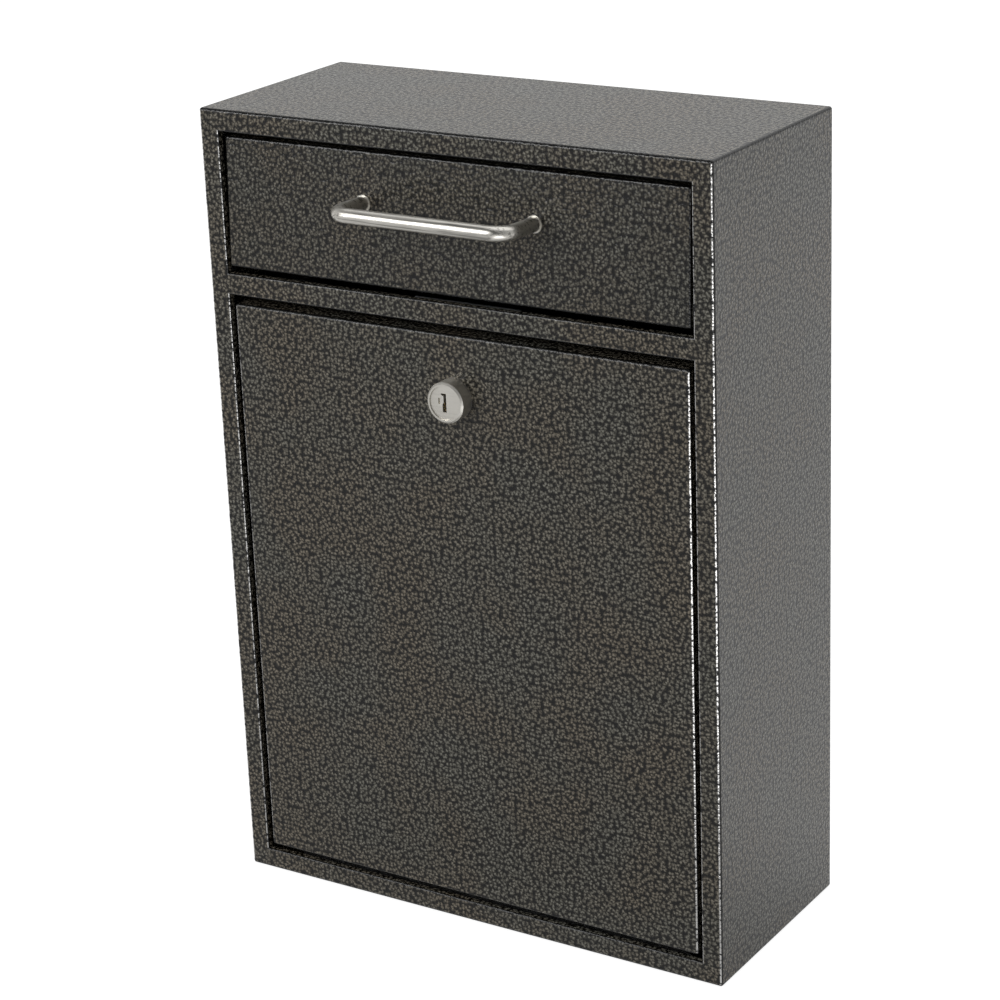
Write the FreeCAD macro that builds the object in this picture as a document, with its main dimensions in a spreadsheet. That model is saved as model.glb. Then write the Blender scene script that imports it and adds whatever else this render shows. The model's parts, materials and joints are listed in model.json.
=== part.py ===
import FreeCAD, Part
import os
import re

import Sketcher
from FreeCAD import Placement, Rotation, Vector

# Steel book drop box: a tilting hopper over a locked collection door, in one folded casing.
# Millimetres. The origin is the centre of the casing's bottom face: +X right, +Y back, +Z up.
# The front plane is at y = -depth/2 and the back plane, which goes to the wall, at y = depth/2.

SIZES = {
    # Casing: one folded sheet with two openings in its front, and a back panel.
    "width": 285.0,
    "depth": 120.0,
    "height": 413.0,
    "wall": 1.2,
    "edge_radius": 1.5,
    "opening_edge_radius": 1.0,
    "frame_width": 11.0,
    "rail_height": 11.15,
    "hopper_opening_height": 71.75,
    "lip_depth": 3.5,
    "back_flange": 10.0,
    "wall_hole_spacing_across": 200.0,
    "wall_hole_spacing_up": 300.0,
    "wall_hole_radius": 4.0,
    # Baffle behind the hopper, against reaching in.
    "baffle_gap": 13.0,
    "baffle_drop": 34.0,
    "baffle_flange": 12.0,
    "baffle_hem": 6.0,
    "baffle_side_gap": 2.0,
    # Collection door.
    "door_recess": 0.8,
    "door_side_gap": 2.4,
    "door_top_gap": 4.5,
    "door_bottom_gap": 2.7,
    "door_flange": 12.0,
    "door_foot_clearance": 0.6,
    # Piano hinge of the collection door.
    "hinge_length": 236.0,
    "hinge_knuckle_radius": 2.7,
    "knuckle_clearance": 0.5,
    "knuckle_foot_clearance": 1.4,
    "hinge_pin_radius": 1.5,
    "hinge_leaf": 1.0,
    "hinge_leaf_reach": 18.0,
    "fixed_knuckles": 5,
    "knuckle_gap": 0.4,
    "hinge_channel_setback": 8.0,
    "hinge_channel_flange": 12.0,
    # Stops that the collection door closes against.
    "bracket_wall": 1.5,
    "door_stop_height": 18.0,
    "door_stop_drop": 24.0,
    "stop_setback": 0.8,
    "stop_foot": 7.0,
    "stop_arm": 11.0,
    "bumper_radius": 4.0,
    "bumper_thick": 2.4,
    "rest_gap": 0.3,
    # Cam lock.
    "lock_drop": 31.8,
    "lock_head_radius": 10.25,
    "lock_head_length": 8.8,
    "lock_rim": 1.75,
    "lock_face_sink": 0.6,
    "lock_disc_thick": 2.0,
    "lock_barrel_radius": 8.0,
    "lock_barrel_length": 15.7,
    "lock_hole_clearance": 0.1,
    "lock_plug_radius": 6.0,
    "lock_plug_overrun": 0.6,
    "lock_nut_flats": 22.0,
    "lock_nut_thick": 4.0,
    "keyway_tall": 9.4,
    "keyway_wide": 1.5,
    "keyway_jog": 0.7,
    "keyway_hook": 1.4,
    "keyway_deep": 17.5,
    "ward_offset": 3.3,
    "ward_rise": 0.75,
    "ward_tall": 3.0,
    "ward_wide": 0.9,
    "ward_deep": 1.5,
    "wafer_count": 5,
    "wafer_thick": 1.0,
    "wafer_pitch": 2.6,
    "wafer_wide": 6.6,
    "wafer_tall": 9.4,
    "wafer_first": 4.0,
    "wafer_window_wide": 3.3,
    "wafer_window_tall": 5.6,
    "cam_length": 43.0,
    "cam_thick": 1.6,
    "cam_wide": 12.0,
    "cam_corner": 3.0,
    "cam_square": 8.0,
    "cam_screw_radius": 2.0,
    "cam_screw_length": 9.0,
    "cam_screw_head_radius": 4.2,
    "cam_screw_head": 2.6,
    "cam_screw_slot": 1.0,
    "cam_washer_radius": 5.0,
    "cam_washer_thick": 0.8,
    "strike_width": 60.0,
    "strike_rise": 6.2,
    "strike_gap": 0.4,
    # Hopper: front leaf, two cheeks and a chute, turning on one rod.
    "hopper_pivot_depth": 7.0,
    "hopper_pivot_rise": 10.75,
    "hopper_recess": 0.7,
    "hopper_side_gap": 1.4,
    "hopper_bottom_gap": 3.2,
    "hopper_top_gap": 2.6,
    "hopper_flange": 10.0,
    "hopper_foot_flange": 8.5,
    "hopper_lean": 2.2,
    "hopper_travel": 50.0,
    "cheek_top_gap": 0.5,
    "ear_reach": 9.0,
    "ear_sweep": 8.0,
    "ear_clearance": 0.5,
    "chute_angle": 30.0,
    "chute_bend": 3.0,
    "chute_length": 68.0,
    "rod_radius": 2.0,
    "rod_end": 3.0,
    "running_clearance": 0.05,
    "spacer_radius": 3.2,
    "side_play": 0.3,
    "bush_flange_radius": 4.6,
    "bush_flange": 1.0,
    "bush_radius": 3.4,
    "bush_overrun": 1.3,
    "bush_setback": 1.7,
    "hopper_bracket_height": 24.0,
    "hopper_bracket_foot": 6.6,
    "hopper_bracket_depth": 13.0,
    "clip_radius": 3.9,
    "clip_thick": 0.8,
    "clip_gap": 0.3,
    "clip_mouth": 2.8,
    # Rests under the chute.
    "rest_along": 50.0,
    "rest_shelf_length": 18.0,
    "rest_shelf_reach": 28.0,
    "rest_bumper_radius": 5.0,
    "rest_bumper_thick": 4.0,
    "rest_bumper_inset": 20.0,
    "rest_tab": 16.0,
    # Pull handle on the hopper leaf.
    "handle_span": 96.0,
    "handle_rise": 32.7,
    "handle_reach": 26.4,
    "handle_radius": 3.7,
    "handle_bend": 8.5,
    "handle_collar_radius": 4.3,
    "handle_collar": 0.7,
    "handle_screw_radius": 2.0,
    "handle_screw_length": 11.0,
    "handle_screw_head_radius": 4.0,
    "handle_screw_head": 2.6,
    "handle_washer_radius": 4.6,
    "handle_washer_thick": 0.8,
    "handle_hole_clearance": 0.2,
}

# Sizes and places that follow from the driving ones.
DERIVED = {
    "front": "-depth / 2",
    "back": "depth / 2",
    "inside_half": "width / 2 - wall",
    "inside_top": "height - wall",
    "opening_half": "width / 2 - frame_width",
    "hopper_opening_top": "height - frame_width",
    "hopper_opening_foot": "hopper_opening_top - hopper_opening_height",
    "door_opening_top": "hopper_opening_foot - rail_height",
    "door_opening_foot": "frame_width",
    "baffle_front": "pivot_back + cheek_radius + baffle_gap",
    "baffle_foot": "inside_top - baffle_drop",
    "door_face": "front + door_recess",
    "door_inside": "door_face + wall",
    "door_half": "opening_half - door_side_gap",
    "door_top": "door_opening_top - door_top_gap",
    "door_foot": "door_opening_foot + door_bottom_gap",
    "hinge_back": "door_inside + hinge_knuckle_radius + knuckle_clearance",
    "hinge_up": "door_foot + wall + hinge_knuckle_radius + knuckle_foot_clearance",
    "door_foot_end": "hinge_back + hinge_knuckle_radius - hinge_leaf - door_foot_clearance",
    "hinge_bore": "hinge_pin_radius + running_clearance",
    "knuckle_pitch": "hinge_length / (2 * fixed_knuckles - 1)",
    "channel_front": "hinge_back + hinge_channel_setback",
    "channel_top": "hinge_up + hinge_knuckle_radius - hinge_leaf",
    "stop_web": "opening_half + wall + stop_setback",
    "stop_front": "door_face + door_flange + rest_gap + bumper_thick",
    "stop_foot_end": "stop_web + stop_foot",
    "lock_up": "door_top - lock_drop",
    "lock_face": "door_face - lock_head_length",
    "lock_rear": "door_face + lock_barrel_length",
    "lock_bore": "lock_plug_radius + running_clearance",
    "disc_radius": "lock_head_radius - lock_rim - running_clearance",
    "disc_front": "lock_face + lock_face_sink",
    "disc_rear": "disc_front + lock_disc_thick",
    "cam_front": "lock_rear + lock_plug_overrun",
    "cam_rear": "cam_front + cam_thick",
    "cam_square_half": "cam_square / 2",
    "cam_hole_half": "cam_square_half + running_clearance",
    "strike_rear": "cam_front - strike_gap",
    "strike_foot": "door_opening_top + wall",
    "strike_front": "front + wall",
    "wafer_start": "disc_rear + wafer_first",
    "wafer_half": "wafer_wide / 2",
    "slot_half": "wafer_half + running_clearance",
    "pivot_back": "front + hopper_pivot_depth",
    "pivot_up": "hopper_opening_foot + hopper_pivot_rise",
    "leaf_face": "hopper_recess - hopper_pivot_depth",
    "leaf_inside": "leaf_face + wall",
    "leaf_half": "opening_half - hopper_side_gap",
    "leaf_foot": "hopper_bottom_gap - hopper_pivot_rise",
    "leaf_top": "hopper_opening_height - hopper_top_gap - hopper_pivot_rise",
    "rod_bore": "rod_radius + running_clearance",
    "cheek_out": "leaf_half - wall",
    "cheek_in": "cheek_out - wall",
    "cheek_radius": "leaf_top - wall - cheek_top_gap",
    "ear_radius": "cheek_radius + ear_reach",
    "lip_angle": "atan((hopper_pivot_depth - lip_depth) / (hopper_opening_top - pivot_up)) / 1deg",
    "ear_front": "90 + lip_angle + hopper_lean - hopper_travel - ear_clearance",
    "ear_back": "ear_front - ear_sweep",
    "chute_foot": "leaf_foot + wall",
    "chute_shoulder": "chute_foot + wall",
    "bend_under": "chute_bend - wall * tan(chute_angle / 2)",
    "chute_end": "bend_under + chute_length * cos(chute_angle)",
    "chute_drop": "chute_foot - chute_length * sin(chute_angle)",
    "chute_under": "bend_under * sin(chute_angle) + chute_foot * cos(chute_angle)",
    "bush_inner": "opening_half + bush_setback",
    "bracket_web": "bush_inner + bush_flange",
    "bush_outer": "bracket_web + bracket_wall + bush_overrun",
    "clip_inner": "bush_outer + clip_gap",
    "rod_half": "clip_inner + clip_thick + rod_end / 2",
    "rest_bumper_top": "chute_under - rest_gap",
    "rest_shelf_top": "rest_bumper_top - rest_bumper_thick",
    "handle_half": "handle_span / 2",
    "handle_front": "leaf_face - handle_reach",
    "screw_bore": "handle_screw_radius + running_clearance",
}

doc = FreeCAD.newDocument("BookDropBox")
sheet = doc.addObject("Spreadsheet::Sheet", "Sizes")
for row, (size_name, number) in enumerate(SIZES.items(), start=1):
    sheet.set(f"A{row}", size_name)
    sheet.set(f"B{row}", str(number))
    sheet.setAlias(f"B{row}", size_name)
doc.recompute()

PIECES = []


def formula(text):
    """Turn a formula of size names into an expression that reads them from the sheet."""

    def reference(match):
        name = match.group(0)
        if name in DERIVED:
            return "(" + formula(DERIVED[name]) + ")"
        return "Sizes." + name if name in SIZES else name

    return re.sub("[a-z_]+", reference, str(text))


# Helpers for sketched bodies. Every sketch lies across one world axis of its body.

PLANES = {"x": "YZ_Plane", "y": "XZ_Plane", "z": "XY_Plane"}


def new_body(label):
    body = doc.addObject("PartDesign::Body", label)
    body.Label = label
    PIECES.append(body)
    return body


def origin_item(body, role):
    return next(item for item in body.Origin.OriginFeatures if item.Role == role)


def rectangle(low_a, low_b, high_a, high_b):
    return [(low_a, low_b), (high_a, low_b), (high_a, high_b), (low_a, high_b)]


def pin_point(drawing, geometry, vertex, place):
    for kind, text in zip(("DistanceX", "DistanceY"), place):
        constraint = drawing.addConstraint(Sketcher.Constraint(kind, -1, 1, geometry, vertex, 1.0))
        drawing.setExpression(f"Constraints[{constraint}]", formula(text))


def draw_polygon(drawing, corners):
    count = len(corners)
    turn = [Rotation(Vector(0, 0, 1), 360.0 * step / count) for step in range(count)]
    start = [rotation.multVec(Vector(10, 0, 0)) for rotation in turn]
    first = drawing.GeometryCount
    for step in range(count):
        drawing.addGeometry(Part.LineSegment(start[step], start[(step + 1) % count]))
    for step in range(count):
        following = first + (step + 1) % count
        drawing.addConstraint(Sketcher.Constraint("Coincident", first + step, 2, following, 1))
        pin_point(drawing, first + step, 1, corners[step])


def draw_circle(drawing, circle):
    across, up, radius = circle
    geometry = drawing.addGeometry(Part.Circle(Vector(0, 0, 0), Vector(0, 0, 1), 5.0))
    constraint = drawing.addConstraint(Sketcher.Constraint("Radius", geometry, 5.0))
    drawing.setExpression(f"Constraints[{constraint}]", formula(radius))
    pin_point(drawing, geometry, 3, (across, up))


def new_sketch(body, axis, place, shapes):
    drawing = body.newObject("Sketcher::SketchObject", body.Label + "_sketch")
    drawing.AttachmentSupport = (origin_item(body, PLANES[axis]), [""])
    drawing.MapMode = "FlatFace"
    sign = "-1" if axis == "y" else "1"
    drawing.setExpression("AttachmentOffset.Base.z", formula(f"{sign} * ({place})"))
    for shape in shapes:
        if isinstance(shape, list):
            draw_polygon(drawing, shape)
        else:
            draw_circle(drawing, shape)
    return drawing


def volume_now(body):
    doc.recompute()
    return 0.0 if body.Shape.isNull() else body.Shape.Volume


def pad(body, axis, low, high, *shapes):
    """Add the sketched shapes between two places along an axis."""
    before = volume_now(body)
    feature = body.newObject("PartDesign::Pad", body.Label + "_pad")
    feature.Profile = new_sketch(body, axis, high if axis == "y" else low, shapes)
    feature.setExpression("Length", formula(f"({high}) - ({low})"))
    if volume_now(body) <= before:
        raise RuntimeError(f"{body.Label}: a pad added nothing")
    return feature


def pocket(body, axis, low, high, *shapes):
    """Cut the sketched shapes between two places along an axis."""
    before = volume_now(body)
    feature = body.newObject("PartDesign::Pocket", body.Label + "_pocket")
    feature.Profile = new_sketch(body, axis, low if axis == "y" else high, shapes)
    feature.setExpression("Length", formula(f"({high}) - ({low})"))
    if volume_now(body) >= before:
        raise RuntimeError(f"{body.Label}: a pocket cut nothing")
    return feature


def dress(body, kind, size_property, size, chosen):
    """Fillet or chamfer the edges of the body that the test chooses."""
    doc.recompute()
    base = body.Tip
    names = [f"Edge{n}" for n, edge in enumerate(base.Shape.Edges, start=1) if chosen(edge)]
    if not names:
        raise RuntimeError(f"{body.Label}: no edge to dress")
    feature = body.newObject(kind, body.Label + "_dress")
    feature.Base = (base, names)
    feature.setExpression(size_property, formula(size))
    doc.recompute()
    return feature


def repeat(body, features, step, count):
    """Repeat features along X, count of them a step apart."""
    pattern = body.newObject("PartDesign::LinearPattern", body.Label + "_pattern")
    pattern.Originals = features
    pattern.Direction = (origin_item(body, "X_Axis"), [""])
    pattern.setExpression("Length", formula(f"({step}) * (({count}) - 1)"))
    pattern.setExpression("Occurrences", formula(count))
    body.Tip = pattern
    doc.recompute()
    return pattern


def at_front_of(shape):
    """Test for straight edges that lie wholly in a shape's foremost plane."""
    front = shape.BoundBox.YMin
    return lambda edge: edge.BoundBox.YMax < front + 0.001


# Helpers for pieces made of primitives.


def place(item, x="0", y="0", z="0", axis=None, angle="0"):
    if axis is not None:
        item.Placement = Placement(Vector(0, 0, 0), Rotation(axis, 1.0))
        item.setExpression("Placement.Rotation.Angle", formula(angle))
    for name, text in (("x", x), ("y", y), ("z", z)):
        item.setExpression(f"Placement.Base.{name}", formula(text))
    return item


ALONG = {"x": (Vector(0, 1, 0), "90"), "y": (Vector(1, 0, 0), "-90"), "z": (Vector(0, 0, 1), "0")}


def cylinder(name, axis, radius, length, x="0", y="0", z="0"):
    """A cylinder that starts at a point and runs along +X, +Y or +Z."""
    item = doc.addObject("Part::Cylinder", name)
    item.setExpression("Radius", formula(radius))
    item.setExpression("Height", formula(length))
    direction, angle = ALONG[axis]
    return place(item, x, y, z, direction, angle)


def block(name, low, high):
    """A box between two corners."""
    item = doc.addObject("Part::Box", name)
    for name_of_size, low_text, high_text in zip(("Length", "Width", "Height"), low, high):
        item.setExpression(name_of_size, formula(f"({high_text}) - ({low_text})"))
    return place(item, *low)


def fuse(name, *items):
    item = doc.addObject("Part::MultiFuse", name)
    item.Shapes = list(items)
    return item


def cut(name, base, tool):
    item = doc.addObject("Part::Cut", name)
    item.Base = base
    item.Tool = tool
    return item


def group(name, items):
    item = doc.addObject("Part::Compound", name)
    item.Links = list(items)
    return item


def piece(item, label):
    item.Label = label
    PIECES.append(item)
    return item


def on_hopper(item, turn="hopper_lean"):
    """Carry a piece made about the hopper's rod, with its leaf upright, to its place at rest."""
    return place(item, "0", "pivot_back", "pivot_up", Vector(1, 0, 0), f"-1 * ({turn})")


SIDES = {"left": "-1", "right": "1"}


def span(side, inner, outer):
    """The low and high X of something between two distances from the middle, on one side."""
    if side == "right":
        return inner, outer
    return f"-1 * ({outer})", f"-1 * ({inner})"


# Fixed pieces.


def make_casing_shell():
    body = new_body("casing_shell")
    pad(body, "y", "front", "back", rectangle("-width / 2", "0", "width / 2", "height"))
    rear = body.Shape.BoundBox.YMax
    dress(
        body, "PartDesign::Fillet", "Radius", "edge_radius",
        lambda edge: edge.BoundBox.YMin < rear - 0.001,
    )
    inside = rectangle("-inside_half", "wall", "inside_half", "inside_top")
    pocket(body, "y", "front + wall", "back", inside)
    openings = (
        ("door_opening_foot", "door_opening_top"),
        ("hopper_opening_foot", "hopper_opening_top"),
    )
    for foot, top in openings:
        opening = rectangle("-opening_half", foot, "opening_half", top)
        lip = rectangle(
            "-opening_half - wall", f"{foot} - wall", "opening_half + wall", f"{top} + wall"
        )
        pad(body, "y", "front + wall", "front + lip_depth", lip)
        pocket(body, "y", "front", "front + lip_depth", opening)
    half = SIZES["width"] / 2 - SIZES["frame_width"] / 2
    in_front = at_front_of(body.Shape)
    low = SIZES["frame_width"] / 2
    high = SIZES["height"] - low

    def opening_edge(edge):
        box = edge.BoundBox
        within = box.XMin > -half and box.XMax < half and box.ZMin > low and box.ZMax < high
        return in_front(edge) and within

    dress(body, "PartDesign::Fillet", "Radius", "opening_edge_radius", opening_edge)


def make_back_panel():
    body = new_body("back_panel")
    sheet_outline = rectangle("-inside_half", "wall", "inside_half", "inside_top")
    pad(body, "y", "back - wall - back_flange", "back", sheet_outline)
    hollow = rectangle("wall - inside_half", "2 * wall", "inside_half - wall", "inside_top - wall")
    pocket(body, "y", "back - wall - back_flange", "back - wall", hollow)
    across = "wall_hole_spacing_across / 2"
    up = "wall_hole_spacing_up / 2"
    holes = [
        (f"{sign_x} * {across}", f"height / 2 + {sign_z} * {up}", "wall_hole_radius")
        for sign_x in (-1, 1)
        for sign_z in (-1, 1)
    ]
    pocket(body, "y", "back - wall", "back", *holes)


def make_baffle():
    body = new_body("anti_fishing_baffle")
    profile = [
        ("baffle_front", "inside_top"),
        ("baffle_front", "baffle_foot"),
        ("baffle_front + baffle_hem", "baffle_foot"),
        ("baffle_front + baffle_hem", "baffle_foot + wall"),
        ("baffle_front + wall", "baffle_foot + wall"),
        ("baffle_front + wall", "inside_top - wall"),
        ("baffle_front + baffle_flange", "inside_top - wall"),
        ("baffle_front + baffle_flange", "inside_top"),
    ]
    pad(body, "x", "baffle_side_gap - inside_half", "inside_half - baffle_side_gap", profile)


def make_lock_strike():
    body = new_body("lock_strike")
    profile = [
        ("strike_front", "strike_foot"),
        ("strike_rear", "strike_foot"),
        ("strike_rear", "strike_foot + strike_rise"),
        ("strike_rear - wall", "strike_foot + strike_rise"),
        ("strike_rear - wall", "strike_foot + wall"),
        ("strike_front + wall", "strike_foot + wall"),
        ("strike_front + wall", "hopper_opening_foot - wall"),
        ("strike_front", "hopper_opening_foot - wall"),
    ]
    pad(body, "x", "-strike_width / 2", "strike_width / 2", profile)


def make_hinge_channel():
    body = new_body("door_hinge_channel")
    rear = "channel_front + hinge_channel_flange"
    profile = [
        ("channel_front", "wall"),
        (rear, "wall"),
        (rear, "2 * wall"),
        ("channel_front + wall", "2 * wall"),
        ("channel_front + wall", "channel_top - wall"),
        (rear, "channel_top - wall"),
        (rear, "channel_top"),
        ("channel_front", "channel_top"),
    ]
    pad(body, "x", "-hinge_length / 2", "hinge_length / 2", profile)


def make_knuckles(body, first, count, tab):
    """Roll a hinge leaf's knuckles round the pin: the first starts at a place along X."""
    low = f"{first} + knuckle_gap / 2"
    high = f"{first} + knuckle_pitch - knuckle_gap / 2"
    knuckle = pad(body, "x", low, high, ("hinge_back", "hinge_up", "hinge_knuckle_radius"))
    strap = pad(body, "x", low, high, tab)
    repeat(body, [knuckle, strap], "2 * knuckle_pitch", count)
    bore = ("hinge_back", "hinge_up", "hinge_bore")
    pocket(body, "x", "-hinge_length / 2", "hinge_length / 2", bore)


def make_fixed_leaf():
    body = new_body("door_hinge_fixed_leaf")
    clear = "hinge_back + hinge_knuckle_radius + knuckle_gap"
    reach = "hinge_back + hinge_leaf_reach"
    high = "hinge_up + hinge_knuckle_radius"
    plate = rectangle(clear, f"{high} - hinge_leaf", reach, high)
    pad(body, "x", "-hinge_length / 2", "hinge_length / 2", plate)
    strap = rectangle("hinge_back", f"{high} - hinge_leaf", clear, high)
    make_knuckles(body, "-hinge_length / 2", "fixed_knuckles", strap)


def make_hinge_pin():
    body = new_body("door_hinge_pin")
    shaft = ("hinge_back", "hinge_up", "hinge_pin_radius")
    pad(body, "x", "-hinge_length / 2", "hinge_length / 2", shaft)


def make_door_stop(side):
    body = new_body(f"door_stop_{side}")
    sign = SIDES[side]
    corners = [
        ("stop_web", "front + wall"),
        ("stop_foot_end", "front + wall"),
        ("stop_foot_end", "front + wall + bracket_wall"),
        ("stop_web + bracket_wall", "front + wall + bracket_wall"),
        ("stop_web + bracket_wall", "stop_front + bracket_wall"),
        ("stop_web - stop_arm", "stop_front + bracket_wall"),
        ("stop_web - stop_arm", "stop_front"),
        ("stop_web", "stop_front"),
    ]
    top = "door_top - door_stop_drop"
    outline = [(f"{sign} * ({x})", y) for x, y in corners]
    pad(body, "z", f"{top} - door_stop_height", top, outline)


def make_door_bumper(side):
    bumper = cylinder(
        f"door_bumper_{side}", "y", "bumper_radius", "bumper_thick",
        f"{SIDES[side]} * (door_half - wall / 2)", "stop_front - bumper_thick",
        "door_top - door_stop_drop - door_stop_height / 2",
    )
    piece(bumper, f"door_bumper_{side}")


def make_hopper_bracket(side):
    """An angle behind the frame that carries one end of the hopper's rod."""
    body = new_body(f"hopper_bracket_{side}")
    sign = SIDES[side]
    corners = [
        ("bracket_web", "front + wall"),
        ("bracket_web + hopper_bracket_foot", "front + wall"),
        ("bracket_web + hopper_bracket_foot", "front + wall + bracket_wall"),
        ("bracket_web + bracket_wall", "front + wall + bracket_wall"),
        ("bracket_web + bracket_wall", "front + wall + hopper_bracket_depth"),
        ("bracket_web", "front + wall + hopper_bracket_depth"),
    ]
    outline = [(f"{sign} * ({x})", y) for x, y in corners]
    half = "hopper_bracket_height / 2"
    pad(body, "z", f"pivot_up - {half}", f"pivot_up + {half}", outline)
    low, high = span(side, "bracket_web", "bracket_web + bracket_wall")
    pocket(body, "x", low, high, ("pivot_back", "pivot_up", "bush_radius"))


def make_hopper_bush(side):
    body = new_body(f"hopper_bush_{side}")
    low, high = span(side, "bush_inner", "bracket_web")
    pad(body, "x", low, high, ("pivot_back", "pivot_up", "bush_flange_radius"))
    low, high = span(side, "bracket_web", "bush_outer")
    pad(body, "x", low, high, ("pivot_back", "pivot_up", "bush_radius"))
    low, high = span(side, "bush_inner", "bush_outer")
    pocket(body, "x", low, high, ("pivot_back", "pivot_up", "rod_bore"))


def make_hopper_rest(side):
    """A side-wall bracket whose shelf lies parallel to the chute above it."""
    body = new_body(f"hopper_rest_{side}")
    sign = SIDES[side]
    under = "rest_shelf_top - bracket_wall"
    corners = [
        ("inside_half - rest_shelf_reach", "rest_shelf_top"),
        ("inside_half", "rest_shelf_top"),
        ("inside_half", "rest_shelf_top - rest_tab"),
        ("inside_half - bracket_wall", "rest_shelf_top - rest_tab"),
        ("inside_half - bracket_wall", under),
        ("inside_half - rest_shelf_reach", under),
    ]
    outline = [(f"{sign} * ({x})", z) for x, z in corners]
    half = "rest_shelf_length / 2"
    pad(body, "y", f"rest_along - {half}", f"rest_along + {half}", outline)
    on_hopper(body, "hopper_lean + chute_angle")


def make_hopper_bumper(side):
    body = new_body(f"hopper_bumper_{side}")
    across = f"{SIDES[side]} * (inside_half - rest_bumper_inset)"
    disc = (across, "rest_along", "rest_bumper_radius")
    pad(body, "z", "rest_shelf_top", "rest_bumper_top", disc)
    on_hopper(body, "hopper_lean + chute_angle")


# Collection door and its lock.


def make_door_panel():
    body = new_body("door_panel")
    outline = rectangle("-door_half", "door_foot", "door_half", "door_top")
    pad(body, "y", "door_face", "door_face + door_flange", outline)
    rear = body.Shape.BoundBox.YMax
    dress(
        body, "PartDesign::Fillet", "Radius", "edge_radius",
        lambda edge: edge.BoundBox.YMin < rear - 0.001,
    )
    hollow = rectangle("wall - door_half", "door_foot + wall", "door_half - wall", "door_top - wall")
    pocket(body, "y", "door_inside", "door_face + door_flange", hollow)
    foot = rectangle("wall - door_half", "door_foot", "door_half - wall", "door_foot + wall")
    pocket(body, "y", "door_foot_end", "door_face + door_flange", foot)
    hole = ("0", "lock_up", "lock_barrel_radius + lock_hole_clearance")
    pocket(body, "y", "door_face", "door_inside", hole)


def make_moving_leaf():
    body = new_body("door_hinge_moving_leaf")
    clear = "hinge_up + hinge_knuckle_radius + knuckle_gap"
    reach = "hinge_up + hinge_leaf_reach"
    outer = "door_inside + hinge_leaf"
    low = "knuckle_gap - hinge_length / 2"
    high = "hinge_length / 2 - knuckle_gap"
    pad(body, "x", low, high, rectangle("door_inside", clear, outer, reach))
    strap = rectangle("door_inside", "hinge_up", outer, clear)
    make_knuckles(body, "knuckle_pitch - hinge_length / 2", "fixed_knuckles - 1", strap)


def make_lock_housing():
    body = new_body("lock_housing")
    pad(body, "y", "lock_face", "door_face", ("0", "lock_up", "lock_head_radius"))
    front = at_front_of(body.Shape)
    dress(body, "PartDesign::Chamfer", "Size", "lock_rim / 2", front)
    pad(body, "y", "door_face", "lock_rear", ("0", "lock_up", "lock_barrel_radius"))
    sink = ("0", "lock_up", "lock_head_radius - lock_rim")
    pocket(body, "y", "lock_face", "disc_rear + rest_gap", sink)
    pocket(body, "y", "lock_face", "lock_rear", ("0", "lock_up", "lock_bore"))


def make_lock_nut():
    body = new_body("lock_nut")
    reach = "lock_nut_flats / 2 / cos(30)"
    corners = [
        (f"{reach} * cos({60 * step})", f"lock_up + {reach} * sin({60 * step})")
        for step in range(6)
    ]
    bore = ("0", "lock_up", "lock_barrel_radius + running_clearance")
    pad(body, "y", "door_inside", "door_inside + lock_nut_thick", corners, bore)


def keyway_outline():
    """A warded slot: a hook at its top and a step at its middle, both to the left."""
    left = "-keyway_wide / 2"
    right = "keyway_wide / 2"
    top = "lock_up + keyway_tall / 2"
    foot = "lock_up - keyway_tall / 2"
    return [
        (f"{left} - keyway_jog", foot),
        (right, foot),
        (right, top),
        (f"{left} - keyway_hook", top),
        (f"{left} - keyway_hook", f"{top} - keyway_hook / 2"),
        (left, f"{top} - keyway_hook"),
        (left, "lock_up"),
        (f"{left} - keyway_jog", "lock_up - keyway_jog"),
    ]


def make_lock_plug():
    body = new_body("lock_plug")
    pad(body, "y", "disc_front", "disc_rear", ("0", "lock_up", "disc_radius"))
    pad(body, "y", "disc_rear", "cam_front", ("0", "lock_up", "lock_plug_radius"))
    square = rectangle(
        "-cam_square_half", "lock_up - cam_square_half",
        "cam_square_half", "lock_up + cam_square_half",
    )
    pad(body, "y", "cam_front", "cam_rear - running_clearance", square)
    pocket(body, "y", "disc_front", "disc_front + keyway_deep", keyway_outline())
    ward = rectangle(
        "-ward_offset - ward_wide / 2", "lock_up + ward_rise - ward_tall / 2",
        "-ward_offset + ward_wide / 2", "lock_up + ward_rise + ward_tall / 2",
    )
    pocket(body, "y", "disc_front", "disc_front + ward_deep", ward)
    slot = rectangle("-slot_half", "lock_up - lock_plug_radius", "slot_half", "lock_up + lock_plug_radius")
    for number in range(int(SIZES["wafer_count"])):
        low = f"wafer_start + {number} * wafer_pitch - running_clearance"
        pocket(body, "y", low, f"{low} + wafer_thick + 2 * running_clearance", slot)
    tapped = ("0", "lock_up", "cam_screw_radius + running_clearance")
    pocket(body, "y", "cam_rear + cam_washer_thick - cam_screw_length", "cam_rear", tapped)


def make_lock_wafers():
    wafers = []
    half_tall = "wafer_tall / 2"
    for number in range(int(SIZES["wafer_count"])):
        low = f"wafer_start + {number} * wafer_pitch"
        high = f"{low} + wafer_thick"
        plate = block(
            "wafer_plate",
            ("-wafer_half", low, f"lock_up - {half_tall}"),
            ("wafer_half", high, f"lock_up + {half_tall}"),
        )
        window = block(
            "wafer_window",
            ("-wafer_window_wide / 2", low, "lock_up - wafer_window_tall / 2"),
            ("wafer_window_wide / 2", high, "lock_up + wafer_window_tall / 2"),
        )
        wafers.append(cut("wafer", plate, window))
    piece(group("lock_wafers", wafers), "lock_wafers")


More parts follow.
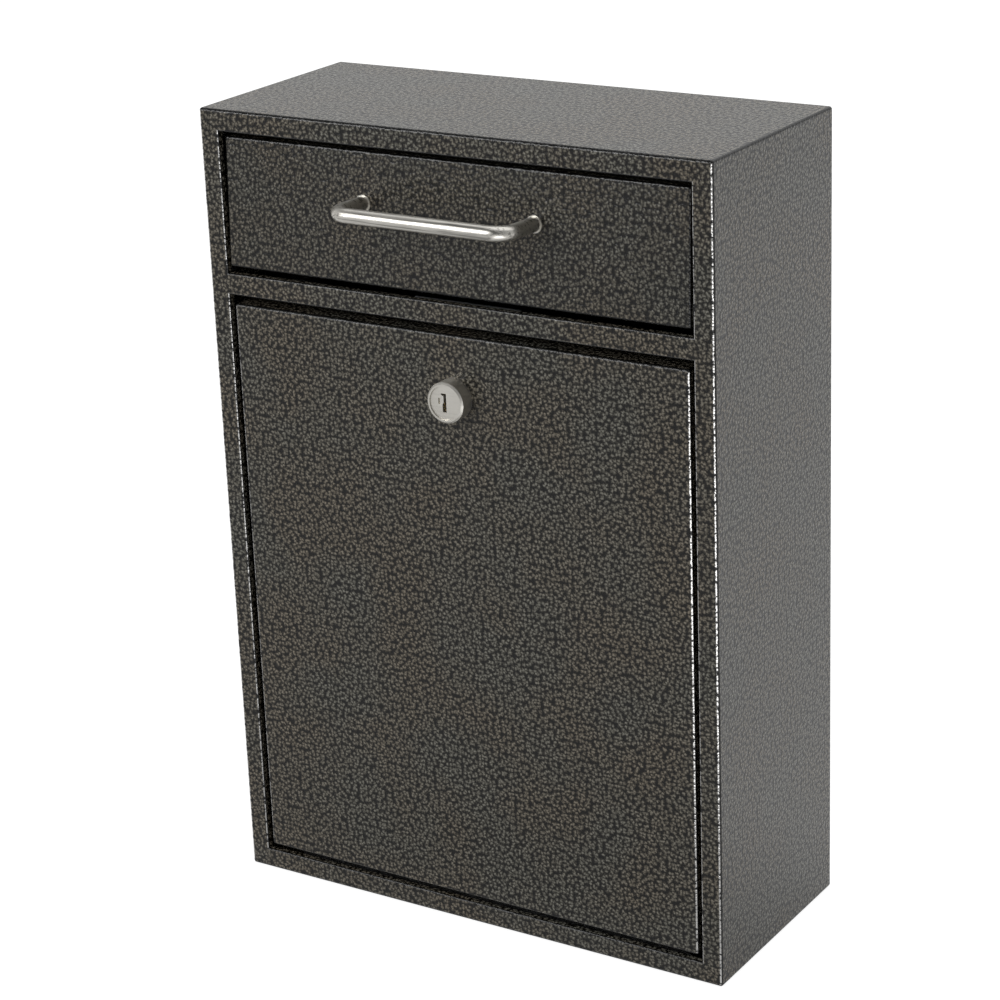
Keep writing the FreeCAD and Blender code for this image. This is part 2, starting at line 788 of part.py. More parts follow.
def make_lock_cam():
    """The cam points to the left when it is unlocked and up behind the strike when it is locked."""
    body = new_body("lock_cam")
    half = "cam_wide / 2"
    hub = ("0", "lock_up", "lock_barrel_radius")
    pad(body, "y", "cam_front", "cam_rear", hub)
    arm = rectangle("-cam_length", f"lock_up - {half}", "0", f"lock_up + {half}")
    pad(body, "y", "cam_front", "cam_rear", arm)
    tip = body.Shape.BoundBox.XMin
    dress(
        body, "PartDesign::Fillet", "Radius", "cam_corner",
        lambda edge: edge.BoundBox.XMax < tip + 0.001 and edge.BoundBox.YLength > 0.5,
    )
    hole = rectangle(
        "-cam_hole_half", "lock_up - cam_hole_half",
        "cam_hole_half", "lock_up + cam_hole_half",
    )
    pocket(body, "y", "cam_front", "cam_rear", hole)


def make_cam_fasteners():
    washer = new_body("lock_cam_washer")
    ring = ("0", "lock_up", "cam_washer_radius")
    bore = ("0", "lock_up", "cam_screw_radius + running_clearance")
    pad(washer, "y", "cam_rear", "cam_rear + cam_washer_thick", ring, bore)
    screw = new_body("lock_cam_screw")
    seat = "cam_rear + cam_washer_thick"
    pad(screw, "y", f"{seat} - cam_screw_length", seat, ("0", "lock_up", "cam_screw_radius"))
    head = ("0", "lock_up", "cam_screw_head_radius")
    pad(screw, "y", seat, f"{seat} + cam_screw_head", head)
    slot = rectangle(
        "-cam_screw_head_radius", "lock_up - cam_screw_slot / 2",
        "cam_screw_head_radius", "lock_up + cam_screw_slot / 2",
    )
    pocket(screw, "y", f"{seat} + cam_screw_head / 2", f"{seat} + cam_screw_head", slot)


# Hopper. Its pieces are drawn about the rod, with the leaf upright, and lean back as one.


def make_hopper_leaf():
    body = new_body("hopper_leaf")
    outline = rectangle("-leaf_half", "leaf_foot", "leaf_half", "leaf_top")
    pad(body, "y", "leaf_face", "leaf_face + hopper_flange", outline)
    rear = body.Shape.BoundBox.YMax
    dress(
        body, "PartDesign::Fillet", "Radius", "edge_radius",
        lambda edge: edge.BoundBox.YMin < rear - 0.001,
    )
    hollow = rectangle("wall - leaf_half", "leaf_foot + wall", "leaf_half - wall", "leaf_top - wall")
    pocket(body, "y", "leaf_inside", "leaf_face + hopper_flange", hollow)
    foot = rectangle("wall - leaf_half", "leaf_foot", "leaf_half - wall", "leaf_foot + wall")
    pocket(body, "y", "leaf_face + hopper_foot_flange", "leaf_face + hopper_flange", foot)
    holes = [
        (f"{sign} * handle_half", "handle_rise", "handle_screw_radius + handle_hole_clearance")
        for sign in SIDES.values()
    ]
    pocket(body, "y", "leaf_face", "leaf_inside", *holes)
    pocket(body, "x", "-leaf_half", "leaf_half", ("0", "0", "rod_bore"))
    on_hopper(body)


def make_hopper_cheek(side):
    """A sector plate that closes one end of the hopper and stops it when it is open."""
    body = new_body(f"hopper_cheek_{side}")
    low, high = span(side, "cheek_in", "cheek_out")
    tail = "2 * cheek_radius"
    wedge = [
        ("leaf_inside", "chute_shoulder"),
        ("chute_bend", "chute_shoulder"),
        (f"chute_bend + {tail} * cos(chute_angle)", f"chute_shoulder - {tail} * sin(chute_angle)"),
        (f"chute_bend + {tail} * cos(chute_angle)", tail),
        ("leaf_inside", tail),
    ]
    pad(body, "x", low, high, wedge)
    trim = [("0", "0", "cheek_radius"), ("0", "0", "5 * cheek_radius")]
    pocket(body, "x", low, high, *trim)
    foot_radius = "(cheek_radius - wall)"
    ear = [
        (f"{foot_radius} * cos(ear_front)", f"{foot_radius} * sin(ear_front)"),
        ("ear_radius * cos(ear_front)", "ear_radius * sin(ear_front)"),
        ("ear_radius * cos(ear_back)", "ear_radius * sin(ear_back)"),
        (f"{foot_radius} * cos(ear_back)", f"{foot_radius} * sin(ear_back)"),
    ]
    pad(body, "x", low, high, ear)
    pocket(body, "x", low, high, ("0", "0", "rod_bore"))
    on_hopper(body)


def make_hopper_chute():
    body = new_body("hopper_chute")
    profile = [
        ("leaf_inside", "chute_foot"),
        ("bend_under", "chute_foot"),
        ("chute_end", "chute_drop"),
        ("chute_end + wall * sin(chute_angle)", "chute_drop + wall * cos(chute_angle)"),
        ("chute_bend", "chute_shoulder"),
        ("leaf_inside", "chute_shoulder"),
    ]
    pad(body, "x", "-cheek_in", "cheek_in", profile)
    on_hopper(body)


def make_hopper_rod():
    body = new_body("hopper_rod")
    pad(body, "x", "-rod_half", "rod_half", ("0", "0", "rod_radius"))
    on_hopper(body)


def make_rod_spacers():
    sleeves = []
    for side in SIDES:
        low = span(side, "leaf_half + side_play", "bush_inner - side_play")[0]
        length = "bush_inner - leaf_half - 2 * side_play"
        sleeve = cylinder("sleeve", "x", "spacer_radius", length, low)
        bore = cylinder("sleeve_bore", "x", "rod_bore", length, low)
        sleeves.append(cut("spacer", sleeve, bore))
    piece(on_hopper(group("hopper_spacers", sleeves)), "hopper_spacers")


def make_rod_clips():
    clips = []
    for side in SIDES:
        low, high = span(side, "clip_inner", "clip_inner + clip_thick")
        disc = cylinder("clip_disc", "x", "clip_radius", "clip_thick", low)
        bore = cylinder("clip_bore", "x", "rod_bore", "clip_thick", low)
        mouth = block("clip_mouth", (low, "0", "-clip_mouth / 2"), (high, "clip_radius", "clip_mouth / 2"))
        clips.append(cut("clip", disc, fuse("clip_opening", bore, mouth)))
    piece(on_hopper(group("hopper_rod_clips", clips)), "hopper_rod_clips")


def make_handle():
    """A bent round bar with its feet on the leaf, each in a thin collar."""
    bar = cylinder(
        "handle_bar", "x", "handle_radius", "handle_span - 2 * handle_bend",
        "handle_bend - handle_half", "handle_front", "handle_rise",
    )
    parts = [bar]
    for side, sign in SIDES.items():
        leg = cylinder(
            "handle_leg", "y", "handle_radius", "handle_reach - handle_bend",
            f"{sign} * handle_half", "handle_front + handle_bend", "handle_rise",
        )
        elbow = doc.addObject("Part::Torus", "handle_elbow")
        elbow.setExpression("Radius1", formula("handle_bend"))
        elbow.setExpression("Radius2", formula("handle_radius"))
        elbow.Angle3 = 90
        turn = "180" if side == "left" else "270"
        place(
            elbow, f"{sign} * (handle_half - handle_bend)", "handle_front + handle_bend",
            "handle_rise", Vector(0, 0, 1), turn,
        )
        collar = cylinder(
            "handle_collar", "y", "handle_collar_radius", "handle_collar",
            f"{sign} * handle_half", "leaf_face - handle_collar", "handle_rise",
        )
        parts += [leg, elbow, collar]
    holes = [
        cylinder(
            "handle_tapping", "y", "screw_bore", "handle_screw_length",
            f"{sign} * handle_half", "leaf_inside - handle_screw_length", "handle_rise",
        )
        for sign in SIDES.values()
    ]
    handle = cut("handle", fuse("handle_bar_whole", *parts), fuse("handle_holes", *holes))
    piece(on_hopper(handle), "handle")


def make_handle_fasteners():
    seat = "leaf_inside + handle_washer_thick"
    screws = []
    washers = []
    for sign in SIDES.values():
        across = f"{sign} * handle_half"
        shank = cylinder(
            "handle_screw_shank", "y", "handle_screw_radius", "handle_screw_length",
            across, f"{seat} - handle_screw_length", "handle_rise",
        )
        head = cylinder(
            "handle_screw_head", "y", "handle_screw_head_radius", "handle_screw_head",
            across, seat, "handle_rise",
        )
        screws.append(fuse("handle_screw", shank, head))
        ring = cylinder(
            "handle_washer_ring", "y", "handle_washer_radius", "handle_washer_thick",
            across, "leaf_inside", "handle_rise",
        )
        bore = cylinder(
            "handle_washer_bore", "y", "screw_bore", "handle_washer_thick",
            across, "leaf_inside", "handle_rise",
        )
        washers.append(cut("handle_washer", ring, bore))
    piece(on_hopper(group("handle_screws", screws)), "handle_screws")
    piece(on_hopper(group("handle_washers", washers)), "handle_washers")


make_casing_shell()
make_back_panel()
make_baffle()
make_lock_strike()
make_hinge_channel()
make_fixed_leaf()
make_hinge_pin()
for side_name in SIDES:
    make_door_stop(side_name)
    make_door_bumper(side_name)
    make_hopper_bracket(side_name)
    make_hopper_bush(side_name)
    make_hopper_rest(side_name)
    make_hopper_bumper(side_name)
make_door_panel()
make_moving_leaf()
make_lock_housing()
make_lock_nut()
make_lock_plug()
make_lock_wafers()
make_lock_cam()
make_cam_fasteners()
make_hopper_leaf()
for side_name in SIDES:
    make_hopper_cheek(side_name)
make_hopper_chute()
make_hopper_rod()
make_rod_spacers()
make_rod_clips()
make_handle()
make_handle_fasteners()

doc.recompute()
for item in doc.Objects:
    if "Invalid" in item.State or "Error" in item.State:
        raise RuntimeError(f"{item.Name} failed: {item.State}")
for item in PIECES:
    if item.Shape.isNull() or not item.Shape.isValid():
        raise RuntimeError(f"{item.Label} has no valid shape")

os.makedirs("parts", exist_ok=True)
for item in PIECES:
    item.Shape.exportStep(f"parts/{item.Label}.step")
    solids = len(item.Shape.Solids)
    print(f"{item.Label}: {solids} solid(s), {item.Shape.Volume / 1000:.2f} cm3")
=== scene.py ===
"""Looks of a steel book drop box: hammertone powder coat, satin nickel, zinc, rubber and nylon."""

import json
import math

import bpy
from mathutils import Matrix, Vector

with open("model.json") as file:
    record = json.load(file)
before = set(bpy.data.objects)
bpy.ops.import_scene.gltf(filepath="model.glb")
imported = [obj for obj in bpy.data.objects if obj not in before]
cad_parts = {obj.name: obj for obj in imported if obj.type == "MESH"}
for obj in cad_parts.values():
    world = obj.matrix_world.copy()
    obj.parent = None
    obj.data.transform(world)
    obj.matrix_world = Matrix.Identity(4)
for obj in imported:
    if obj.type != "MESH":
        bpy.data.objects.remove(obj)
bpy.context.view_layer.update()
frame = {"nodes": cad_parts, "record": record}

nodes = frame["nodes"]

# Camera: a long lens to the right of the box and above it, looking down, with a slight roll.
CAMERA_PLACE = Vector((0.7292, -1.1570, 0.7093))
CAMERA_AZIMUTH = math.radians(32.72)
CAMERA_ELEVATION = math.radians(19.99)
CAMERA_ROLL = math.radians(-2.23)
CAMERA_LENS = 103.6
SENSOR_WIDTH = 36.0

MM = 0.001

# The hammertone coat: how far apart its drops lie, how fine its ridges are, and how deep its relief is.
DROP_SPACING = 2.2 * MM
RIDGE_SIZE = 0.9 * MM
COAT_RELIEF = 0.3 * MM
# How large the patches are over which the coat's tint drifts.
TINT_SIZE = 45 * MM
# Painted shade: the near-black painted on the bends between flat faces, standing in for the dark lines that
# shade and dark reflections give the edges.
BEND_PAINTED_SHADE = (0.002, 0.002, 0.002, 1.0)
# Painted glint: the bright metal colour painted on the raised grain of upright bends that look mostly
# frontwards, where light catches the edges.
PAINTED_GLINT_COLOUR = (0.80, 0.79, 0.77, 1.0)
# Painted shade: the hopper leaf's coat is painted this much darker than the casing's, and has no painted
# glint.
HOPPER_LEAF_PAINTED_SHADE = 0.82
# A surface looks along an axis where its normal's share on that axis is over this.
LOOKS_ALONG = 0.7

# How bright the studio is in reflections: in front of the object, behind it, on its floor and overhead.
STUDIO_FRONT = 0.20
STUDIO_BACK = 0.68
STUDIO_FLOOR = 0.84
STUDIO_OVERHEAD = 0.35
# How bright a pool of light on the floor, in front and to the right, is in reflections.
FLOOR_POOL = 1.9
# The way from the object to the pool, and where the pool's sides and its near edge fade, in metres.
POOL_WAY_X = 0.54
POOL_WAY_Y = -0.84
POOL_SIDE_FULL = 0.18
POOL_SIDE_END = 0.26
POOL_START = 0.36
POOL_START_FULL = 0.5
# How bright the room light is that no reflection shows.
ROOM_LIGHT = 0.60
# The floor: half its side in metres, its paint, and how much of the studio's white it gives off.
FLOOR_HALF = 12.0
FLOOR_PAINT = (0.30, 0.30, 0.30, 1.0)
FLOOR_GLOW = 0.85
# Below this the studio's white counts as unseen.
UNSEEN_WHITE = 0.001
# The lamps: a soft light from above, and a softbox in front on the left that looks at the middle.
SKY_DIRECTION = (-0.1, -0.35, -1.0)
SKY_STRENGTH = 1.1
SKY_SPREAD = math.radians(80.0)
SOFTBOX_PLACE = (-1.2, -1.9, 1.15)
SOFTBOX_WIDTH = 1.3
SOFTBOX_HEIGHT = 1.0
SOFTBOX_POWER = 20.5
OBJECT_MIDDLE = (0.0, 0.0, 0.2)


# Node helpers.


def new_material(name):
    """A material with a bare Principled shader; returns the material, its tree and the shader."""
    material = bpy.data.materials.new(name)
    material.use_nodes = True
    tree = material.node_tree
    tree.nodes.clear()
    output = tree.nodes.new("ShaderNodeOutputMaterial")
    shader = tree.nodes.new("ShaderNodeBsdfPrincipled")
    tree.links.new(shader.outputs["BSDF"], output.inputs["Surface"])
    return material, tree, shader


def add_node(tree, kind, settings=None, **inputs):
    """A node with its settings made, and each named input linked or set."""
    node = tree.nodes.new(kind)
    for name, value in (settings or {}).items():
        setattr(node, name, value)
    for name, value in inputs.items():
        socket = node.inputs[name.replace("_", " ")]
        if isinstance(value, bpy.types.NodeSocket):
            tree.links.new(value, socket)
        else:
            socket.default_value = value
    return node


def object_coordinates(tree, scale=(1.0, 1.0, 1.0)):
    """Coordinates fixed to the piece, in metres, stretched by a scale."""
    source = add_node(tree, "ShaderNodeTexCoord").outputs["Object"]
    node = add_node(tree, "ShaderNodeMapping", Vector=source, Scale=scale)
    return node.outputs["Vector"]


def noise(tree, vector, size, detail=2.0, roughness=0.5):
    """A noise of about a given grain size in metres, from 0 to 1."""
    node = add_node(
        tree, "ShaderNodeTexNoise",
        Vector=vector, Scale=1.0 / size, Detail=detail, Roughness=roughness,
    )
    return node.outputs["Fac"]


def ramp(tree, factor, stops):
    """A colour ramp: stops are pairs of place and colour."""
    node = add_node(tree, "ShaderNodeValToRGB", Fac=factor)
    elements = node.color_ramp.elements
    while len(elements) < len(stops):
        elements.new(0.5)
    for element, (place, colour) in zip(elements, stops):
        element.position = place
        element.color = (*colour, 1.0)
    return node.outputs["Color"]


def span(tree, factor, low, high, new_low, new_high):
    """Map a range of a factor to a new range."""
    node = add_node(
        tree, "ShaderNodeMapRange", Value=factor,
        From_Min=low, From_Max=high, To_Min=new_low, To_Max=new_high,
    )
    return node.outputs["Result"]


def calculate(tree, operation, *values):
    """The result of one sum on values, each a number or a socket."""
    node = add_node(tree, "ShaderNodeMath", {"operation": operation})
    for socket, value in zip(node.inputs, values):
        if isinstance(value, bpy.types.NodeSocket):
            tree.links.new(value, socket)
        else:
            socket.default_value = value
    return node.outputs["Value"]


def mix_colour(tree, kind, factor, first, second):
    """Two colours mixed; 0, 6 and 7 are the places of a colour mix's sockets, and 2 is its result."""
    node = add_node(tree, "ShaderNodeMix", {"data_type": "RGBA", "blend_type": kind})
    for index, value in ((0, factor), (6, first), (7, second)):
        if isinstance(value, bpy.types.NodeSocket):
            tree.links.new(value, node.inputs[index])
        else:
            node.inputs[index].default_value = value
    return node.outputs[2]


def bump(tree, height, depth):
    """A normal from a height; depth is how deep a height of 1 is, in metres."""
    return add_node(tree, "ShaderNodeBump", Height=height, Distance=depth, Strength=1.0).outputs["Normal"]


# Materials.


def along_the_face(tree):
    """Coordinates that lie in the plane of the face, whichever way the face looks."""
    source = add_node(tree, "ShaderNodeTexCoord")
    place = add_node(tree, "ShaderNodeSeparateXYZ", Vector=source.outputs["Object"])
    normal = add_node(tree, "ShaderNodeSeparateXYZ", Vector=source.outputs["Normal"])
    sideways = calculate(tree, "ABSOLUTE", normal.outputs["X"])
    upwards = calculate(tree, "ABSOLUTE", normal.outputs["Z"])
    on_side = calculate(tree, "GREATER_THAN", sideways, LOOKS_ALONG)
    on_top = calculate(tree, "GREATER_THAN", upwards, LOOKS_ALONG)
    x, y, z = place.outputs
    across = calculate(tree, "MULTIPLY_ADD", on_side, calculate(tree, "SUBTRACT", y, x), x)
    along = calculate(tree, "MULTIPLY_ADD", on_top, calculate(tree, "SUBTRACT", y, z), z)
    return add_node(tree, "ShaderNodeCombineXYZ", X=across, Y=along).outputs["Vector"]


def bend_places(tree):
    """Two masks: 1 on the bends between flat faces, and 1 where upright bends look mostly frontwards."""
    normal = add_node(tree, "ShaderNodeTexCoord").outputs["Normal"]
    parts = add_node(tree, "ShaderNodeSeparateXYZ", Vector=normal)
    sizes = [calculate(tree, "ABSOLUTE", part) for part in parts.outputs]
    larger = calculate(tree, "MAXIMUM", sizes[0], sizes[1])
    largest = calculate(tree, "MAXIMUM", larger, sizes[2])
    bends = span(tree, largest, 0.995, 0.96, 0.0, 1.0)
    facing = span(tree, sizes[1], 0.68, 0.78, 0.0, 1.0)
    level = span(tree, sizes[2], 0.12, 0.24, 1.0, 0.0)
    upright = calculate(tree, "MULTIPLY", calculate(tree, "MULTIPLY", bends, facing), level)
    return bends, upright


def hammertone(name, painted_shade_level, bend_glint):
    """Bronze-black hammertone powder coat: light drops on a dark base, bends painted near-black as painted
    shade, and a painted glint of bright metal on upright bends.
    """
    material, tree, shader = new_material(name)
    place = object_coordinates(tree)
    flat = along_the_face(tree)
    ridges = noise(tree, flat, RIDGE_SIZE, detail=0.0)
    drops = add_node(
        tree, "ShaderNodeTexVoronoi", {"feature": "F1", "voronoi_dimensions": "2D"},
        Vector=flat, Scale=1.0 / DROP_SPACING, Randomness=0.85,
    )
    drop_height = calculate(tree, "MULTIPLY_ADD", drops.outputs["Distance"], -0.60, 0.51)
    cells = calculate(tree, "MULTIPLY_ADD", ridges, 0.5, drop_height)
    grain = ramp(tree, cells, (
        (0.32, (0.0016, 0.0013, 0.0010)),
        (0.43, (0.0110, 0.0092, 0.0073)),
        (0.50, (0.038, 0.0330, 0.0270)),
        (0.60, (0.098, 0.0870, 0.0735)),
        (0.78, (0.24, 0.217, 0.190)),
    ))
    drift = noise(tree, place, TINT_SIZE, detail=2.0)
    tint = ramp(tree, drift, (
        (0.38, (1.0, 0.97, 0.86)),
        (0.62, (0.93, 1.0, 0.97)),
    ))
    colour = mix_colour(tree, "MULTIPLY", 1.0, grain, tint)
    # Painted shade: the whole coat is dimmed by this level, which makes the hopper leaf's shaded copy.
    painted_shade_colour = (painted_shade_level, painted_shade_level, painted_shade_level, 1.0)
    colour = mix_colour(tree, "MULTIPLY", 1.0, colour, painted_shade_colour)
    bends, upright = bend_places(tree)
    # Painted shade: the bends are painted near-black.
    colour = mix_colour(tree, "MIX", bends, colour, BEND_PAINTED_SHADE)
    # Painted glint: bright metal painted on the raised grain of upright bends.
    raised = span(tree, cells, 0.37, 0.50, 0.0, bend_glint)
    painted_glint = calculate(tree, "MULTIPLY", upright, raised)
    colour = mix_colour(tree, "MIX", painted_glint, colour, PAINTED_GLINT_COLOUR)
    tree.links.new(colour, shader.inputs["Base Color"])
    tree.links.new(painted_glint, shader.inputs["Metallic"])
    shader.inputs["IOR"].default_value = 1.5
    tree.links.new(span(tree, cells, 0.3, 0.7, 0.27, 0.19), shader.inputs["Roughness"])
    tree.links.new(bump(tree, cells, COAT_RELIEF), shader.inputs["Normal"])
    return material


def satin_nickel(name, marks_and_reflection_level, roughness):
    """Satin nickel with fine dark lines along X, partly drawn marks and, where they are deep, painted dark
    reflection lines; the second argument is how bright the darkest of the lines is.
    """
    material, tree, shader = new_material(name)
    shader.inputs["Metallic"].default_value = 1.0
    place = object_coordinates(tree)
    cloud = noise(tree, place, 12 * MM, detail=3.0)
    metal = ramp(tree, cloud, (
        (0.35, (0.77, 0.745, 0.685)),
        (0.65, (0.84, 0.815, 0.755)),
    ))
    drawn = object_coordinates(tree, (0.02, 1.0, 1.0))
    marks_and_reflection_lines = noise(tree, drawn, 1.6 * MM, detail=3.0, roughness=0.7)
    dark = (marks_and_reflection_level, marks_and_reflection_level, marks_and_reflection_level)
    # Partly drawn marks, partly painted reflection: dark lines along X, deep on the handle's bar.
    marks_and_reflection_shade = ramp(tree, marks_and_reflection_lines, ((0.38, dark), (0.47, (1.0, 1.0, 1.0))))
    tree.links.new(mix_colour(tree, "MULTIPLY", 1.0, metal, marks_and_reflection_shade), shader.inputs["Base Color"])
    lines = noise(tree, drawn, 0.25 * MM, detail=2.0)
    low, high = roughness
    tree.links.new(span(tree, lines, 0.3, 0.7, low, high), shader.inputs["Roughness"])
    tree.links.new(bump(tree, lines, 0.006 * MM), shader.inputs["Normal"])
    return material


def zinc_steel():
    """Zinc-plated pressed steel with a faint spangle."""
    material, tree, shader = new_material("zinc_plated_steel")
    shader.inputs["Metallic"].default_value = 1.0
    place = object_coordinates(tree)
    spangle = noise(tree, place, 4 * MM, detail=3.0, roughness=0.65)
    tree.links.new(ramp(tree, spangle, (
        (0.3, (0.47, 0.48, 0.50)),
        (0.7, (0.62, 0.63, 0.64)),
    )), shader.inputs["Base Color"])
    tree.links.new(span(tree, spangle, 0.3, 0.7, 0.42, 0.30), shader.inputs["Roughness"])
    fine = noise(tree, place, 0.4 * MM, detail=2.0)
    tree.links.new(bump(tree, fine, 0.01 * MM), shader.inputs["Normal"])
    return material


def brass():
    """Plain brass, slightly clouded."""
    material, tree, shader = new_material("brass")
    shader.inputs["Metallic"].default_value = 1.0
    place = object_coordinates(tree)
    cloud = noise(tree, place, 2 * MM, detail=3.0)
    tree.links.new(ramp(tree, cloud, (
        (0.3, (0.60, 0.43, 0.17)),
        (0.7, (0.76, 0.58, 0.27)),
    )), shader.inputs["Base Color"])
    tree.links.new(span(tree, cloud, 0.3, 0.7, 0.38, 0.24), shader.inputs["Roughness"])
    return material


def dull(name, dark, light, roughness, grain):
    """A matt moulded material between two near colours, with a fine grain."""
    material, tree, shader = new_material(name)
    place = object_coordinates(tree)
    cloud = noise(tree, place, 6 * MM, detail=3.0)
    tree.links.new(ramp(tree, cloud, ((0.35, dark), (0.65, light))), shader.inputs["Base Color"])
    fine = noise(tree, place, grain, detail=2.0)
    low, high = roughness
    tree.links.new(span(tree, fine, 0.3, 0.7, low, high), shader.inputs["Roughness"])
    tree.links.new(bump(tree, fine, 0.03 * MM), shader.inputs["Normal"])
    return material


def give_materials():
    """Give each piece its slot's finish, or its own where the photo shows it differently."""
    finishes = {
        "hammertone_powder_coat": hammertone("hammertone_powder_coat", 1.0, 1.0),
        "satin_nickel": satin_nickel("satin_nickel", 0.93, (0.37, 0.45)),
        "zinc_plated_steel": zinc_steel(),
        "brass": brass(),
        "black_rubber": dull(
            "black_rubber", (0.012, 0.012, 0.012), (0.022, 0.021, 0.020), (0.6, 0.8), 0.5 * MM
        ),
        "white_nylon": dull(
            "white_nylon", (0.70, 0.69, 0.64), (0.80, 0.79, 0.75), (0.45, 0.6), 0.6 * MM
        ),
    }
    own_finishes = {
        # The handle's bar gets deep dark lines along it: partly drawn marks, partly painted dark reflection
        # lines.
        "handle": satin_nickel("satin_nickel_bar", 0.45, (0.29, 0.38)),
        # The hopper leaf's coat is a copy painted darker as painted shade, with no painted glint.
        "hopper_leaf": hammertone("hammertone_hopper_leaf_painted_shade", HOPPER_LEAF_PAINTED_SHADE, 0.0),
    }
    for row in frame["record"]["subparts"]:
        piece = nodes[row["node"]]
        finish = own_finishes.get(row["node"], finishes[row["material_slot"]])
        piece.data.materials.clear()
        piece.data.materials.append(finish)


# Studio.


def seen_rays(tree):
    """The light path node, and 1 for rays from the camera and through glass."""
    path = add_node(tree, "ShaderNodeLightPath")
    camera = path.outputs["Is Camera Ray"]
    return path, calculate(tree, "MAXIMUM", camera, path.outputs["Is Transmission Ray"])


def white_unless_reflected(tree, depth):
    """How white the studio looks: white to the camera, and to reflections white behind the object."""
    path, seen = seen_rays(tree)
    reflected = calculate(tree, "MULTIPLY", path.outputs["Is Glossy Ray"], depth)
    return calculate(tree, "MAXIMUM", seen, reflected)


def pool_of_light(tree, sides):
    """1 on a patch of the floor that lies forwards and to the right of the object."""
    across_x = calculate(tree, "MULTIPLY", sides.outputs["X"], -POOL_WAY_Y)
    across = calculate(tree, "MULTIPLY_ADD", sides.outputs["Y"], POOL_WAY_X, across_x)
    off = calculate(tree, "ABSOLUTE", across)
    width = span(tree, off, POOL_SIDE_FULL, POOL_SIDE_END, 1.0, 0.0)
    forward_x = calculate(tree, "MULTIPLY", sides.outputs["X"], POOL_WAY_X)
    forward = calculate(tree, "MULTIPLY_ADD", sides.outputs["Y"], POOL_WAY_Y, forward_x)
    start = span(tree, forward, POOL_START, POOL_START_FULL, 0.0, 1.0)
    patch = calculate(tree, "MULTIPLY", width, start)
    path = add_node(tree, "ShaderNodeLightPath")
    once = calculate(tree, "LESS_THAN", path.outputs["Ray Depth"], 1.5)
    seen = calculate(tree, "MULTIPLY", path.outputs["Is Glossy Ray"], once)
    return calculate(tree, "MULTIPLY", patch, seen)


def make_floor():
    """A floor that takes the object's shadow, looks white, and dims in reflections towards the front."""
    mesh = bpy.data.meshes.new("floor")
    half = FLOOR_HALF
    corners = [(-half, -half, 0.0), (half, -half, 0.0), (half, half, 0.0), (-half, half, 0.0)]
    mesh.from_pydata(corners, [], [(0, 1, 2, 3)])
    floor = bpy.data.objects.new("floor", mesh)
    bpy.context.scene.collection.objects.link(floor)
    material = bpy.data.materials.new("floor")
    material.use_nodes = True
    tree = material.node_tree
    tree.nodes.clear()
    output = tree.nodes.new("ShaderNodeOutputMaterial")
    place = add_node(tree, "ShaderNodeNewGeometry").outputs["Position"]
    sides = add_node(tree, "ShaderNodeSeparateXYZ", Vector=place)
    near = span(tree, sides.outputs["Y"], -0.12, 0.12, STUDIO_FRONT, STUDIO_FLOOR)
    far = span(tree, sides.outputs["Y"], -1.2, -0.3, 0.2, 1.0)
    whiteness = white_unless_reflected(tree, calculate(tree, "MULTIPLY", near, far))
    lift = calculate(tree, "MULTIPLY", whiteness, FLOOR_GLOW)
    pool = pool_of_light(tree, sides)
    strength = calculate(tree, "MULTIPLY_ADD", pool, FLOOR_POOL, lift)
    paint = add_node(tree, "ShaderNodeBsdfDiffuse", Color=FLOOR_PAINT)
    glow = add_node(tree, "ShaderNodeEmission", Strength=strength)
    both = add_node(tree, "ShaderNodeAddShader")
    tree.links.new(paint.outputs[0], both.inputs[0])
    tree.links.new(glow.outputs[0], both.inputs[1])
    tree.links.new(both.outputs[0], output.inputs["Surface"])
    mesh.materials.append(material)


def add_softbox():
    """A rectangular lamp in front on the left."""
    light = bpy.data.lights.new("front_left", "AREA")
    light.shape = "RECTANGLE"
    light.size = SOFTBOX_WIDTH
    light.size_y = SOFTBOX_HEIGHT
    light.energy = SOFTBOX_POWER
    lamp = bpy.data.objects.new("front_left", light)
    lamp.location = SOFTBOX_PLACE
    look = Vector(OBJECT_MIDDLE) - Vector(SOFTBOX_PLACE)
    lamp.rotation_euler = look.to_track_quat("-Z", "Y").to_euler()
    bpy.context.scene.collection.objects.link(lamp)


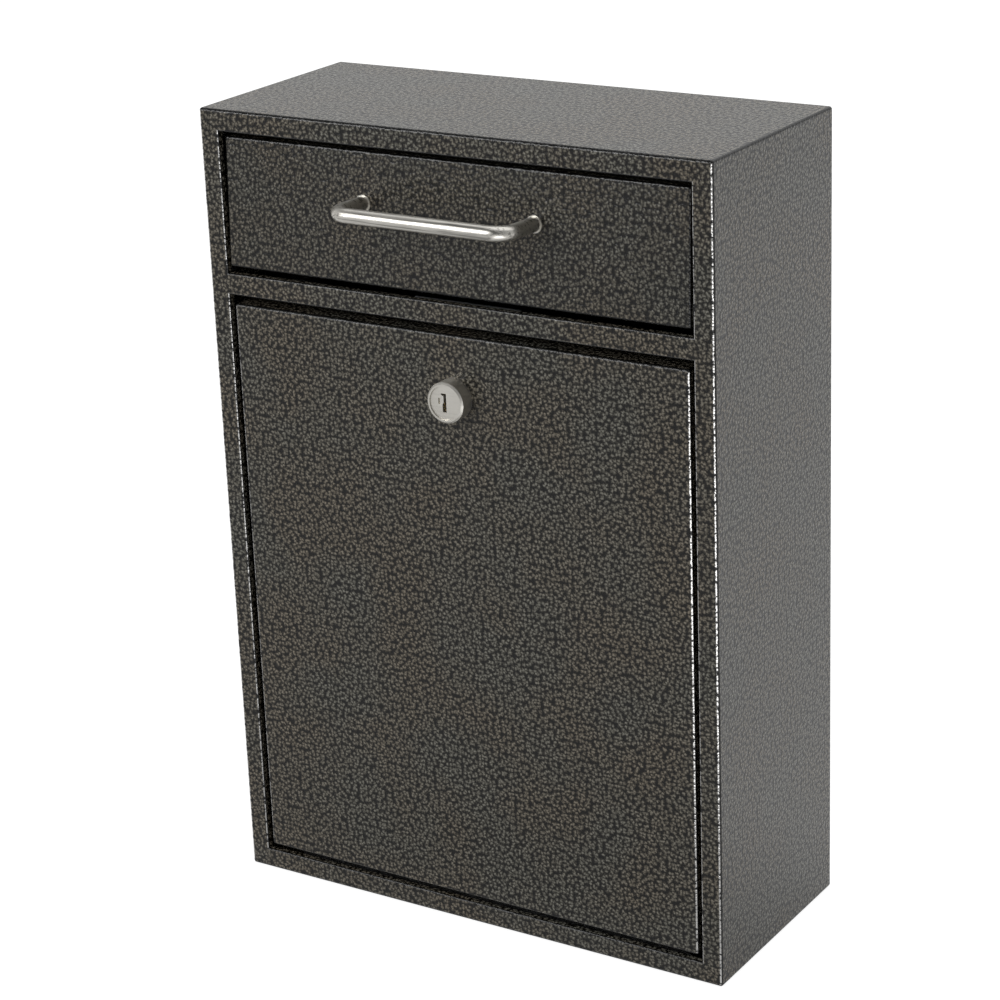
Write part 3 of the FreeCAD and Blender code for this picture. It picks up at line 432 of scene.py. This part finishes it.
def make_world():
    """A studio that looks white, is dimmer in reflections in front and overhead, and lights the room."""
    world = bpy.data.worlds.new("studio")
    bpy.context.scene.world = world
    world.use_nodes = True
    tree = world.node_tree
    tree.nodes.clear()
    output = tree.nodes.new("ShaderNodeOutputWorld")
    direction = add_node(tree, "ShaderNodeTexCoord").outputs["Generated"]
    sides = add_node(tree, "ShaderNodeSeparateXYZ", Vector=direction)
    depth = span(tree, sides.outputs["Y"], -0.8, 0.5, STUDIO_FRONT, STUDIO_BACK)
    height = span(tree, sides.outputs["Z"], 0.45, 0.75, 1.0, STUDIO_OVERHEAD)
    whiteness = white_unless_reflected(tree, calculate(tree, "MULTIPLY", depth, height))
    unseen = calculate(tree, "LESS_THAN", whiteness, UNSEEN_WHITE)
    strength = calculate(tree, "MULTIPLY_ADD", unseen, ROOM_LIGHT, whiteness)
    light = add_node(tree, "ShaderNodeBackground", Color=(1.0, 1.0, 1.0, 1.0), Strength=strength)
    tree.links.new(light.outputs[0], output.inputs["Surface"])


def add_sky_light():
    """A very soft light from above."""
    light = bpy.data.lights.new("sky_light", "SUN")
    light.energy = SKY_STRENGTH
    light.angle = SKY_SPREAD
    lamp = bpy.data.objects.new("sky_light", light)
    lamp.rotation_euler = Vector(SKY_DIRECTION).to_track_quat("-Z", "Y").to_euler()
    bpy.context.scene.collection.objects.link(lamp)


def make_camera():
    """The photo's camera, fitted to the casing's corners."""
    data = bpy.data.cameras.new("camera")
    data.lens = CAMERA_LENS
    data.sensor_width = SENSOR_WIDTH
    data.clip_start = 0.05
    data.clip_end = 60.0
    camera = bpy.data.objects.new("camera", data)
    bpy.context.scene.collection.objects.link(camera)
    level = math.cos(CAMERA_ELEVATION)
    back = Vector((
        math.sin(CAMERA_AZIMUTH) * level,
        -math.cos(CAMERA_AZIMUTH) * level,
        math.sin(CAMERA_ELEVATION),
    ))
    right = Vector((math.cos(CAMERA_AZIMUTH), math.sin(CAMERA_AZIMUTH), 0.0))
    up = back.cross(right)
    turn = Matrix((right, up, back)).transposed() @ Matrix.Rotation(CAMERA_ROLL, 3, "Z")
    camera.matrix_world = Matrix.Translation(CAMERA_PLACE) @ turn.to_4x4()
    bpy.context.scene.camera = camera


give_materials()
make_world()
make_floor()
add_sky_light()
add_softbox()
make_camera()
bpy.context.scene.view_settings.view_transform = "Standard"
